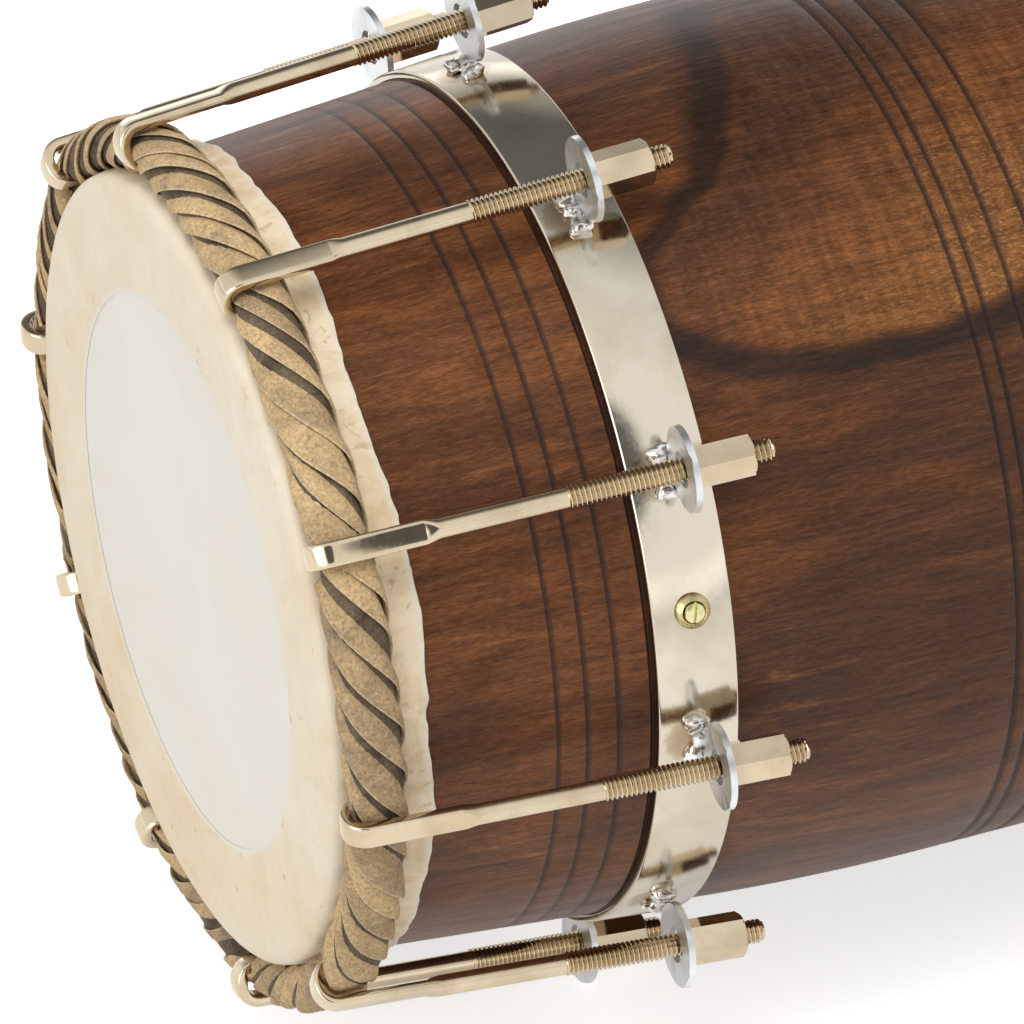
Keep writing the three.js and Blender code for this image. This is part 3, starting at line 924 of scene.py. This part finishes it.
def hookStations():
    bend, drop = rod["bend"], rod["drop"]
    centre = rod["halfThickness"] + bend
    strap = (rod["halfWidth"], rod["halfThickness"], 5.0)
    slim = (rod["halfWidth"] - 0.5, rod["halfThickness"] - 0.45, 4.0)
    stations = [((rod["tip"], -drop), pi, *slim), ((rod["tip"] - 0.35, -drop), pi, *strap)]
    steps = rod["bendSteps"]
    for height, first in ((bend - drop, 0), (-bend, pi / 2)):
        for i in range(steps + 1):
            turn = first + pi / 2 * i / steps
            place = (centre - bend * sin(turn), height - bend * cos(turn))
            stations.append((place, pi - turn, *strap))
    stations.append(((rod["strapEnd"], 0), 0, *strap))
    for i in range(1, steps + 1):
        share = i / steps
        soft = sin(share * pi / 2)
        width = rod["halfWidth"] + (rod["shank"] - rod["halfWidth"]) * share
        height = rod["halfThickness"] + (rod["shank"] - rod["halfThickness"]) * soft
        x = rod["strapEnd"] + (rod["shankStart"] - rod["strapEnd"]) * share
        stations.append(((x, 0), 0, width, height, 5.0 - 3.0 * soft))
    stations.append(((rod["threadStart"] + 1, 0), 0, rod["shank"], rod["shank"], 2.0))
    return stations


def superEllipse(angle, power):
    parts = (cos(angle), sin(angle))
    return [copysign(abs(part) ** (2 / power), part) for part in parts]


def addHook(shape):
    ring = bmesh.ops.create_circle(shape, segments=rod["sides"], radius=1)["verts"]
    angles = {v: atan2(v.co.y, v.co.x) for v in ring}
    edges = list({e for v in ring for e in v.link_edges})
    first = edges
    for number, (place, heading, width, height, power) in enumerate(hookStations()):
        if number:
            made = bmesh.ops.extrude_edge_only(shape, edges=edges)["geom"]
            edges = [e for e in made if isinstance(e, bmesh.types.BMEdge)]
            # each new corner takes the angle of the one that it was drawn from
            fresh = {v for e in edges for v in e.verts}
            links = [(v, e.other_vert(v)) for v in fresh for e in v.link_edges]
            angles = {v: angles[other] for v, other in links if other in angles}
        for vertex, angle in angles.items():
            across, up = superEllipse(angle, power)
            vertex.co = (
                place[0] - sin(heading) * up * height,
                across * width,
                place[1] + cos(heading) * up * height,
            )
    bmesh.ops.contextual_create(shape, geom=first)
    bmesh.ops.contextual_create(shape, geom=edges)


def addThread(shape):
    thread = bmesh.new()
    pitch, root, crest = rod["pitch"], rod["root"], rod["crest"]
    start = rod["threadStart"] - pitch
    turns = ceil((rod["length"] - start) / pitch) + 1
    low, high = rod["crestSpan"]
    outline = [(0, root), (low * pitch, crest), (high * pitch, crest), (pitch, root)]
    corners = [thread.verts.new((start + x, 0, r)) for x, r in outline]
    edges = [thread.edges.new(pair) for pair in zip(corners, corners[1:])]
    bmesh.ops.spin(thread, geom=corners + edges, cent=(0, 0, 0), axis=(1, 0, 0),
                   dvec=(pitch / rod["turnSteps"], 0, 0), angle=2 * pi * turns,
                   steps=turns * rod["turnSteps"])
    bmesh.ops.remove_doubles(thread, verts=thread.verts, dist=0.002)
    for x, way in ((rod["threadStart"], -1), (rod["length"], 1)):
        cutAt(thread, (x, 0, 0), (way, 0, 0), clear_outer=True)
        loose = [edge for edge in thread.edges if edge.is_boundary]
        rim = [edge for edge in loose if all(abs(v.co.x - x) < 0.001 for v in edge.verts)]
        bmesh.ops.holes_fill(thread, edges=rim, sides=0)
    for vertex in thread.verts:
        radius, angle = polar(vertex.co)
        past = vertex.co.x - rod["length"] + rod["pointLength"]
        limit = crest - rod["pointSlope"] * max(past, 0)
        if radius > limit:
            setPolar(vertex, limit, angle)
    pourInto(shape, thread)


def rodPlaces():
    places = {}
    for joint in frame["joints"]:
        if joint["type"] != "hinge":
            continue
        along = Vector(joint["axis"]).normalized()
        origin = Vector(joint["pos_m"])
        outward = Vector((0, origin.y, origin.z - axisHeight)).normalized()
        aside = outward.cross(along).normalized()
        turn = Matrix((along, aside, along.cross(aside))).transposed().to_4x4()
        end = ends[joint["child"].split("_")[0]]
        toHook = Matrix.Translation((-lugDistance(end) - nut["standOff"], 0, 0))
        places[joint["child"]] = Matrix.Translation(origin) @ turn @ millimetres @ toHook
    return places


nut = {
    "acrossFlats": 10.5,
    "length": 16.0,
    "standOff": 1.25,  # from the middle of the lug
    "bore": 3.3,
    "mouth": 4.0,
    "sides": 36,
    "turn": 9.0,  # degrees by which a corner may stray from outwards
    "turned": {"bass_nut_03": 22.0},  # degrees more, for single nuts
}


def nutOutline():
    inner = nut["acrossFlats"] / 2
    bevel = [(0, -0.2), (0.12, 0), (0.26, 0.25), (0.42, 0.5), (0.6, 1.0)]
    front = [(0.7, nut["bore"]), (0, nut["mouth"])] + [(x, inner + rise) for x, rise in bevel]
    return front + [(nut["length"] - x, r) for x, r in reversed(front)]


def nutShape():
    shape = ringAround(nutOutline(), nut["sides"])
    for vertex in shape.verts:
        radius, angle = polar(vertex.co)
        facet = (angle + pi / 6) % (pi / 3) - pi / 6
        flat = nut["acrossFlats"] / 2 / cos(pi / 6 - abs(facet))
        setPolar(vertex, min(radius, flat), angle)
    return shape


def lugDistance(end):
    parts = ("bandSeat", "bandGap", "bandThickness", "lugRise", "lugRadius")
    return hypot(drum["bandCentre"], sum(drum[part] for part in parts) - hookRadius(end))


def placeCopy(pattern, name, node, place):
    mesh = pattern.copy()
    mesh.transform(place)
    addPiece(name, mesh, node, "nickel", [node])


def buildRods():
    shape = bmesh.new()
    addHook(shape)
    addThread(shape)
    rodMesh = cleanMesh("rodPattern", shape, Matrix.Identity(4), 42)
    nutMesh = cleanMesh("nutPattern", nutShape(), Matrix.Identity(4), 25)
    dice = random.Random(5)
    for endName, end in ends.items():
        for number in range(1, drum["boltCount"] + 1):
            label = f"{number:02d}"
            rodNode, nutNode = f"{endName}_rod_{label}", f"{endName}_nut_{label}"
            placeCopy(rodMesh, f"{endName}Rod{label}", rodNode, places[nutNode])
            start = Matrix.Translation((lugDistance(end) + nut["standOff"], 0, 0))
            turn = dice.uniform(-nut["turn"], nut["turn"]) + nut["turned"].get(nutNode, 0.0)
            twist = Matrix.Rotation(radians(turn), 4, "X")
            placeCopy(nutMesh, f"{endName}Nut{label}", nutNode, places[nutNode] @ start @ twist)
    bpy.data.meshes.remove(rodMesh)
    bpy.data.meshes.remove(nutMesh)


places = rodPlaces()
buildRods()
print("rods and nuts made")


# Bands with their lugs and welds
band = {
    "halfWidth": 10.5,
    "steps": 240,
    "edge": 0.6,
}
lug = {
    "hole": 4.45,
    "halfThickness": 0.95,
    "edge": 0.25,
    "steps": 56,
}
weld = {
    # along, aside, height and size of the beads that every weld has
    "spots": [
        (-1.3, 4.4, 0.6, 2.9), (-1.2, -4.5, 0.6, 2.8), (0.0, 0.0, 0.4, 2.6), (-3.0, 5.0, 0.2, 1.9),
        (-2.8, -5.3, 0.2, 1.9), (0.3, 5.6, 1.6, 1.9), (0.2, -5.4, 1.7, 1.8),
    ],
    "strayCount": 8,
    "strayRanges": [(-4.2, 0.8), (-6.4, 6.4), (0.2, 1.6), (0.8, 1.5)],
    "flatness": 0.75,
    "grain": 0.00038,
    "softSteps": 9,
}


def buildBandStrip(endName, end):
    centre, edge, thick = drum["bandCentre"], band["edge"], drum["bandThickness"]
    # a slant is a chamfer in two steps
    slant = [(0, 0), (0, thick - edge), (edge * 0.3, thick - edge * 0.3), (edge, thick)]
    outline = []
    for x, way in ((centre - band["halfWidth"], 1), (centre + band["halfWidth"], -1)):
        base = taperRadius(end, x) + drum["bandGap"]
        outline += [(x + way * inward, base + rise) for inward, rise in slant[::way]]
    outline.insert(len(slant), (centre, taperRadius(end, centre) + drum["bandGap"] + thick))
    shape = ringAround(outline, band["steps"])
    addShape(endName + "BandStrip", shape, end["place"], 50, "band",
             [endName + "_band"])


def addWasher(shape, place):
    half, edge, hole, rim = lug["halfThickness"], lug["edge"], lug["hole"], drum["lugRadius"]
    outline = [
        (-half, hole + edge), (-half, rim - edge), (-half + edge, rim), (half - edge, rim),
        (half, rim - edge), (half, hole + edge), (half - edge, hole), (-half + edge, hole),
    ]
    washer = ringAround(outline, lug["steps"])
    mergePoints(washer)
    bmesh.ops.transform(washer, matrix=place, verts=washer.verts)
    pourInto(shape, washer)


def addWeld(shape, end, angle, dice):
    seat = taperRadius(end, drum["bandCentre"]) + drum["bandGap"] + drum["bandThickness"]
    spots = list(weld["spots"])
    for _ in range(weld["strayCount"]):
        spots.append([dice.uniform(low, high) for low, high in weld["strayRanges"]])
    turn = Matrix.Rotation(angle, 4, "X")
    for along, aside, height, size in spots:
        ball = bmesh.ops.create_icosphere(shape, subdivisions=3, radius=size)["verts"]
        seed = dice.uniform(0, 90)
        for vertex in ball:
            vertex.co *= 1 + 0.25 * noise.noise(vertex.co * 0.9 + Vector((seed, 0, 0)))
            vertex.co.z *= weld["flatness"]
            vertex.co += Vector((drum["bandCentre"] + along, aside, seat + height))
        bmesh.ops.transform(shape, matrix=turn, verts=ball)


def fuseLumps(mesh):
    # the beads run together into one lumpy mass
    carrier = newObject("carrier", mesh)
    fuse = carrier.modifiers.new("fuse", "REMESH")
    fuse.mode, fuse.voxel_size, fuse.use_smooth_shade = "VOXEL", weld["grain"], True
    soften = carrier.modifiers.new("soften", "SMOOTH")
    soften.factor, soften.iterations = 0.5, weld["softSteps"]
    solid = carrier.evaluated_get(bpy.context.evaluated_depsgraph_get())
    fused = bpy.data.meshes.new_from_object(solid)
    bpy.data.objects.remove(carrier)
    bpy.data.meshes.remove(mesh)
    return fused


def buildBand(endName, end):
    buildBandStrip(endName, end)
    dice = random.Random(end["seed"] + 40)
    washers, welds = bmesh.new(), bmesh.new()
    for number in range(drum["boltCount"]):
        place = places[f"{endName}_nut_{number + 1:02d}"]
        addWasher(washers, place @ Matrix.Translation((lugDistance(end), 0, 0)))
        addWeld(welds, end, 2 * pi * (number + 0.5) / drum["boltCount"], dice)
    addShape(endName + "Lugs", washers, Matrix.Identity(4), 30, "lug")
    mesh = fuseLumps(cleanMesh(endName + "Welds", welds, end["place"], 60))
    addPiece(endName + "Welds", mesh, "drum", "weld")


for endName, end in ends.items():
    buildBand(endName, end)
print("bands welded")


# Slotted screws in cup washers
screw = {
    "angles": [72.0, 252.0],
    "steps": 48,
    "slotHalf": 0.34,
    "slotFloor": 1.5,
    "slotTurn": 78,
    "cup": [
        (0.3, 4.4), (0.5, 4.65), (0.75, 4.55), (1.25, 3.95), (1.8, 3.4),
        (1.95, 3.15), (1.85, 2.95), (0.5, 2.1), (0.3, 2.1),
    ],
    "head": [
        (-14, 0), (-12.5, 1.5), (0.45, 1.7), (1.7, 2.6), (2.2, 2.68),
        (2.5, 2.5), (2.75, 1.9), (2.9, 1.0), (2.95, 0),
    ],
}


def buildScrews(endName, end):
    for number, angle in enumerate(screw["angles"], 1):
        lift = drum["bandSeat"] + drum["bandGap"] + drum["bandThickness"]
        place = (
            end["place"]
            @ Matrix.Rotation(radians(angle), 4, "X")
            @ Matrix.Translation((drum["bandCentre"], 0, lift))
            @ Matrix.Rotation(-pi / 2 - atan(taperSlope(end)), 4, "Y")
        )
        shape = ringAround(screw["cup"], screw["steps"])
        addShape(f"{endName}CupWasher{number}", shape, place, 40, "cup",
                 [f"{endName}_cup_washer_{number}"])
        shape = ringAround(screw["head"], screw["steps"])
        mergePoints(shape)
        half = screw["slotHalf"]
        for offset in (-half - 0.02, -half, half, half + 0.02):
            cutAt(shape, (0, offset, 0), (0, 1, 0))
        for vertex in shape.verts:
            if abs(vertex.co.y) < half + 0.005 and vertex.co.x > screw["slotFloor"]:
                vertex.co.x = screw["slotFloor"]
        turn = Matrix.Rotation(radians(screw["slotTurn"]), 3, "X")
        bmesh.ops.rotate(shape, verts=shape.verts, cent=(0, 0, 0), matrix=turn)
        addShape(f"{endName}BandScrew{number}", shape, place, 30, "brass",
                 [f"{endName}_band_screw_{number}"])


for endName, end in ends.items():
    buildScrews(endName, end)
print("screws set")


# Pieces whose CAD shape stays
hidden = {"bass_hoop": "wire", "treble_hoop": "wire", "bass_paste": "paste"}
for node, finish in hidden.items():
    for place in frame["nodes"][node].material_slots:
        place.material = finishes[finish]
print("hoops and paste dressed")


# Floor and light
studio = {
    "floorHalf": 6.0,
    "floorTone": 0.8,
    "floorGlow": 0.68,
    "floorGloss": 0.46,
    "worldStrength": 0.55,
    "mirrorStrength": 1.15,
    # what gloss sees by direction, with the gain added to a level of 1
    "patches": [
        {"toward": (0.28, 0.72, 0.63), "gain": -0.86,
         "share": [(0.24, 0.0), (0.6, 0.16), (0.8, 0.74), (0.9, 1.0)]},
        {"toward": (-0.31, -0.746, 0.589), "gain": -0.88, "share": [(0.945, 0.0), (0.965, 1.0)]},
        {"toward": (-0.86, -0.42, 0.29), "gain": 0.9, "share": [(0.88, 0.0), (0.93, 1.0)]},
        {"toward": (0, 0, 1), "gain": 0.3,
         "share": [(0.0, 0.0), (0.02, 1.0), (0.1, 1.0), (0.15, 0.0)]},
        {"toward": (0.31, 0.95, 0.05), "gain": 2.5, "share": [(0.86, 0.0), (0.96, 1.0)]},
    ],
}
lamps = {
    "key": {"power": 22, "size": 1.2, "from": (-0.5, -0.6, 2.1), "mirrored": False},
    "side": {"power": 9, "size": 1.2, "from": (-2.0, -0.5, 0.9), "mirrored": True},
}


def mirrorRay(mat, path):
    rays = [path.outputs[f"Is {kind} Ray"] for kind in ("Glossy", "Transmission")]
    return mathOf(mat, "MAXIMUM", *rays)


def buildFloor():
    shape = bmesh.new()
    bmesh.ops.create_grid(shape, x_segments=4, y_segments=4, size=studio["floorHalf"])
    mesh = meshOf("floor", shape)
    mat = bpy.data.materials.new("paleFloor")
    mat.use_nodes = True
    mat.node_tree.nodes.clear()
    tone = studio["floorTone"]
    diffuse = addNode(mat, "BsdfDiffuse", {"Color": (tone, tone, tone, 1)})
    path = addNode(mat, "LightPath")
    seen = timesOf(mat, path.outputs["Is Camera Ray"], studio["floorGlow"])
    mirrored = timesOf(mat, mirrorRay(mat, path), studio["floorGloss"])
    glow = addNode(mat, "Emission", {
        "Color": (1, 1, 1, 1), "Strength": mathOf(mat, "MAXIMUM", seen, mirrored),
    })
    both = addNode(mat, "AddShader", {0: diffuse.outputs[0], 1: glow.outputs[0]})
    addNode(mat, "OutputMaterial", {"Surface": both.outputs[0]})
    mesh.materials.append(mat)
    floor = newObject("floor", mesh)


def lightWorld():
    world = bpy.data.worlds.new("studio")
    bpy.context.scene.world = world
    world.use_nodes = True
    back = world.node_tree.nodes["Background"]
    path = addNode(world, "LightPath")
    # gloss sees a room with a dim part, a dark spot, a window, a skyline and a white wall
    toward = addNode(world, "TexCoord").outputs["Generated"]
    room = 1.0
    for patch in studio["patches"]:
        aim = addNode(world, "VectorMath", {0: toward, 1: patch["toward"]}, operation="DOT_PRODUCT")
        share = rampOf(world, aim.outputs["Value"], patch["share"])
        room = timesOf(world, room, mathOf(world, "MULTIPLY_ADD", share, patch["gain"], 1.0))
    extra = lessOf(world, timesOf(world, room, studio["mirrorStrength"]), studio["worldStrength"])
    level = sumOf(world, studio["worldStrength"], timesOf(world, mirrorRay(world, path), extra))
    level = mathOf(world, "MAXIMUM", level, path.outputs["Is Camera Ray"])
    connect(world, level, back.inputs["Strength"])
    back.inputs["Color"].default_value = (1, 1, 1, 1)


def hangLamp(name, lamp):
    light = bpy.data.lights.new(name, "AREA")
    light.energy, light.size = lamp["power"], lamp["size"]
    holder = newObject(name, light)
    holder.location = lamp["from"]
    aim = Vector((0, 0, axisHeight)) - holder.location
    holder.rotation_euler = aim.to_track_quat("-Z", "Y").to_euler()
    holder.visible_glossy = lamp["mirrored"]


buildFloor()
lightWorld()
for name, lamp in lamps.items():
    hangLamp(name, lamp)
bpy.context.scene.view_settings.view_transform = "Standard"
print("studio lit")
